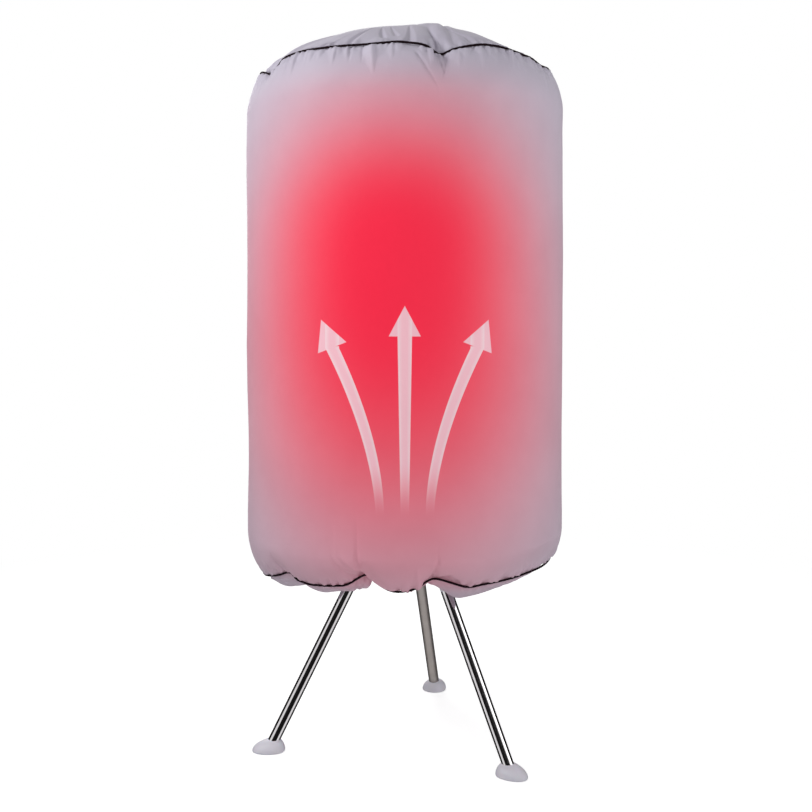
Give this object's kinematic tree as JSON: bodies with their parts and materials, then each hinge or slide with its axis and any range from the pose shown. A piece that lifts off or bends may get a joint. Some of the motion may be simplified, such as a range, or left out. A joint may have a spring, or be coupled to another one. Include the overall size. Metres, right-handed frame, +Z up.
{
  "type": "portable clothes dryer",
  "caption": "Portable clothes dryer: a round fabric cover over a folding hanger rack and a warm air blower, standing on a folding tripod.",
  "frame": {"origin": "on the floor, under the pole's axis", "axes": "+Z up the pole; -Y to the front, where the timer knob is; +Y to the back, where the zip is"},
  "size_m": [0.607, 0.6137, 1.359],
  "materials": {
    "silver_fabric": "coated taffeta",
    "piping": "bound piping",
    "tape": "woven zip tape",
    "polished_steel": "polished",
    "satin_steel": "satin",
    "zinc": "plated",
    "aluminium": "mill finish",
    "white_plastic": "moulded",
    "grey_plastic": "moulded",
    "dark_plastic": "moulded",
    "red_lens": "clear red"
  },
  "bodies": {
    "stand": {"tripod_ring": "zinc", "base_shell": "white_plastic", "top_shell": "white_plastic", "inlet_grille": "dark_plastic", "outlet_grille": "dark_plastic", "motor_mount": "zinc", "fan_motor": "zinc", "heater_frame": "dark_plastic", "heater_core": "aluminium", "timer_body": "dark_plastic", "power_inlet": "dark_plastic", "indicator_lens": "red_lens", "housing_screw_front_left": "zinc", "housing_screw_front_right": "zinc", "housing_screw_rear": "zinc", "front_left_leg_pin": "zinc", "front_right_leg_pin": "zinc", "rear_leg_pin": "zinc", "pole_socket": "white_plastic", "pole_lower_tube": "satin_steel", "pole_bush": "dark_plastic", "cover_shoulder": "silver_fabric", "cover_front": "silver_fabric", "cover_right": "silver_fabric", "cover_back": "silver_fabric", "cover_left": "silver_fabric", "cover_skirt": "silver_fabric", "cover_top": "silver_fabric", "cover_bottom": "silver_fabric", "piping_top": "piping", "piping_bottom": "piping", "hem_elastic": "silver_fabric", "zip_tape": "tape"},
    "front_left_leg": {"front_left_leg_tube": "polished_steel", "front_left_leg_knuckle": "white_plastic", "front_left_foot": "white_plastic"},
    "front_right_leg": {"front_right_leg_tube": "polished_steel", "front_right_leg_knuckle": "white_plastic", "front_right_foot": "white_plastic"},
    "rear_leg": {"rear_leg_tube": "satin_steel", "rear_leg_knuckle": "white_plastic", "rear_foot": "white_plastic"},
    "fan": {"fan_impeller": "grey_plastic"},
    "knob": {"timer_knob": "grey_plastic"},
    "lock": {"pole_lock_sleeve": "dark_plastic"},
    "upper_pole": {"pole_upper_tube": "satin_steel", "top_cap": "white_plastic", "crown": "white_plastic", "crown_ring": "zinc", "crown_screw": "zinc"},
    "arm_1": {"arm_1": "white_plastic"},
    "arm_2": {"arm_2": "white_plastic"},
    "arm_3": {"arm_3": "white_plastic"},
    "arm_4": {"arm_4": "white_plastic"},
    "arm_5": {"arm_5": "white_plastic"},
    "arm_6": {"arm_6": "white_plastic"},
    "arm_7": {"arm_7": "white_plastic"},
    "arm_8": {"arm_8": "white_plastic"},
    "zip_slider": {"zip_slider": "zinc"},
    "zip_pull": {"zip_pull": "zinc"}
  },
  "joints": [
    {"name": "front_left_leg_fold", "type": "hinge", "parent": "stand", "child": "front_left_leg", "pos_m": [-0.09443, -0.02685, 0.3367], "axis": [0.2735, -0.9619, 0], "range_deg": [0, 27.4]},
    {"name": "front_right_leg_fold", "type": "hinge", "parent": "stand", "child": "front_right_leg", "pos_m": [0.07046, -0.06835, 0.3367], "axis": [0.6963, 0.7178, 0], "range_deg": [0, 27.4]},
    {"name": "rear_leg_fold", "type": "hinge", "parent": "stand", "child": "rear_leg", "pos_m": [0.02397, 0.0952, 0.3367], "axis": [-0.9697, 0.2441, 0], "range_deg": [0, 27.4]},
    {"name": "fan_spin", "type": "hinge", "parent": "stand", "child": "fan", "pos_m": [0, 0, 0.378], "axis": [0, 0, 1], "continuous": true},
    {"name": "timer_turn", "type": "hinge", "parent": "stand", "child": "knob", "pos_m": [0, -0.125, 0.393], "axis": [0, 1, 0], "range_deg": [0, 300]},
    {"name": "pole_lock_turn", "type": "hinge", "parent": "stand", "child": "lock", "pos_m": [0, 0, 0.9], "axis": [0, 0, 1], "range_deg": [0, 90]},
    {"name": "pole_slide", "type": "slide", "parent": "stand", "child": "upper_pole", "axis": [0, 0, -1], "range_m": [0, 0.3]},
    {"name": "arm_1_fold", "type": "hinge", "parent": "upper_pole", "child": "arm_1", "pos_m": [0.01974, -0.02768, 1.267], "axis": [0.8141, 0.5807, 0], "range_deg": [0, 80]},
    {"name": "arm_2_fold", "type": "hinge", "parent": "upper_pole", "child": "arm_2", "pos_m": [0.03353, -0.00561, 1.267], "axis": [0.165, 0.9863, 0], "range_deg": [0, 80]},
    {"name": "arm_3_fold", "type": "hinge", "parent": "upper_pole", "child": "arm_3", "pos_m": [0.02768, 0.01974, 1.267], "axis": [-0.5807, 0.8141, 0], "range_deg": [0, 80]},
    {"name": "arm_4_fold", "type": "hinge", "parent": "upper_pole", "child": "arm_4", "pos_m": [0.00561, 0.03353, 1.267], "axis": [-0.9863, 0.165, 0], "range_deg": [0, 80]},
    {"name": "arm_5_fold", "type": "hinge", "parent": "upper_pole", "child": "arm_5", "pos_m": [-0.01974, 0.02768, 1.267], "axis": [-0.8141, -0.5807, 0], "range_deg": [0, 80]},
    {"name": "arm_6_fold", "type": "hinge", "parent": "upper_pole", "child": "arm_6", "pos_m": [-0.03353, 0.00561, 1.267], "axis": [-0.165, -0.9863, 0], "range_deg": [0, 80]},
    {"name": "arm_7_fold", "type": "hinge", "parent": "upper_pole", "child": "arm_7", "pos_m": [-0.02768, -0.01974, 1.267], "axis": [0.5807, -0.8141, 0], "range_deg": [0, 80]},
    {"name": "arm_8_fold", "type": "hinge", "parent": "upper_pole", "child": "arm_8", "pos_m": [-0.00561, -0.03353, 1.267], "axis": [0.9863, -0.165, 0], "range_deg": [0, 80]},
    {"name": "zip_slide", "type": "slide", "parent": "stand", "child": "zip_slider", "axis": [0, -0.0122, 0.9999], "range_m": [0, 0.7]},
    {"name": "zip_pull_swing", "type": "hinge", "parent": "zip_slider", "child": "zip_pull", "pos_m": [0, 0.30825, 0.47111], "axis": [1, 0, 0], "range_deg": [0, 150]}
  ]
}
